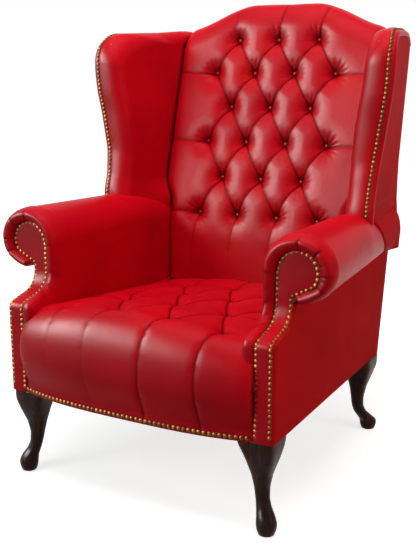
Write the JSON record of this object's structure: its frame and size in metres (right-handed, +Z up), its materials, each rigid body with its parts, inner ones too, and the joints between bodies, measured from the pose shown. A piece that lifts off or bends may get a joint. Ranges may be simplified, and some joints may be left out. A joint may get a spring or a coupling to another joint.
{
  "type": "wing chair",
  "caption": "Buttoned leather wing chair with a camel back, rolled arms, brass nails, a bowed seat and cabriole legs.",
  "frame": {"origin": "on the floor, in the middle of the chair's width and depth", "axes": "+Z up, the sitter faces -Y, +X is the right side as seen from the front"},
  "size_m": [0.866, 0.92, 1.1332],
  "materials": {
    "red_leather": "semi-gloss grained",
    "button_leather": "semi-gloss grained",
    "dark_leg_wood": "dark mahogany stain, satin",
    "frame_wood": "raw beech",
    "antique_brass": "antique, satin",
    "spring_steel": "plain",
    "hessian": "plain weave",
    "webbing": "twill weave",
    "button_twine": "waxed",
    "black_dust_cloth": "matt",
    "nylon_glide": "matt"
  },
  "bodies": {
    "root": {"back_pad": "red_leather", "seat_pad": "red_leather", "left_arm_pad": "red_leather", "right_arm_pad": "red_leather", "left_wing_pad": "red_leather", "right_wing_pad": "red_leather", "left_arm_facing": "red_leather", "right_arm_facing": "red_leather", "outside_back_panel": "red_leather", "left_outside_arm_panel": "red_leather", "right_outside_arm_panel": "red_leather", "left_outside_wing_panel": "red_leather", "right_outside_wing_panel": "red_leather", "back_buttons": "button_leather", "seat_buttons": "button_leather", "left_front_leg": "dark_leg_wood", "right_front_leg": "dark_leg_wood", "left_rear_leg": "dark_leg_wood", "right_rear_leg": "dark_leg_wood", "left_front_knee_brackets": "dark_leg_wood", "right_front_knee_brackets": "dark_leg_wood", "left_rear_knee_brackets": "dark_leg_wood", "right_rear_knee_brackets": "dark_leg_wood", "front_seat_rail": "frame_wood", "back_seat_rail": "frame_wood", "lower_back_rail": "frame_wood", "crest_rail": "frame_wood", "corner_blocks": "frame_wood", "frame_dowels": "frame_wood", "left_back_post": "frame_wood", "right_back_post": "frame_wood", "left_arm_stump": "frame_wood", "right_arm_stump": "frame_wood", "left_seat_rail": "frame_wood", "right_seat_rail": "frame_wood", "left_arm_tacking_rail": "frame_wood", "right_arm_tacking_rail": "frame_wood", "left_arm_rail": "frame_wood", "right_arm_rail": "frame_wood", "left_wing_post": "frame_wood", "right_wing_post": "frame_wood", "left_wing_rail": "frame_wood", "right_wing_rail": "frame_wood", "seat_rail_nails": "antique_brass", "left_facing_nails": "antique_brass", "right_facing_nails": "antique_brass", "left_wing_nails": "antique_brass", "right_wing_nails": "antique_brass", "seat_springs": "spring_steel", "spring_clips": "spring_steel", "leg_bolts": "spring_steel", "seat_hessian": "hessian", "back_webbing": "webbing", "button_twines": "button_twine", "dust_cover": "black_dust_cloth", "foot_glides": "nylon_glide"}
  },
  "joints": []
}
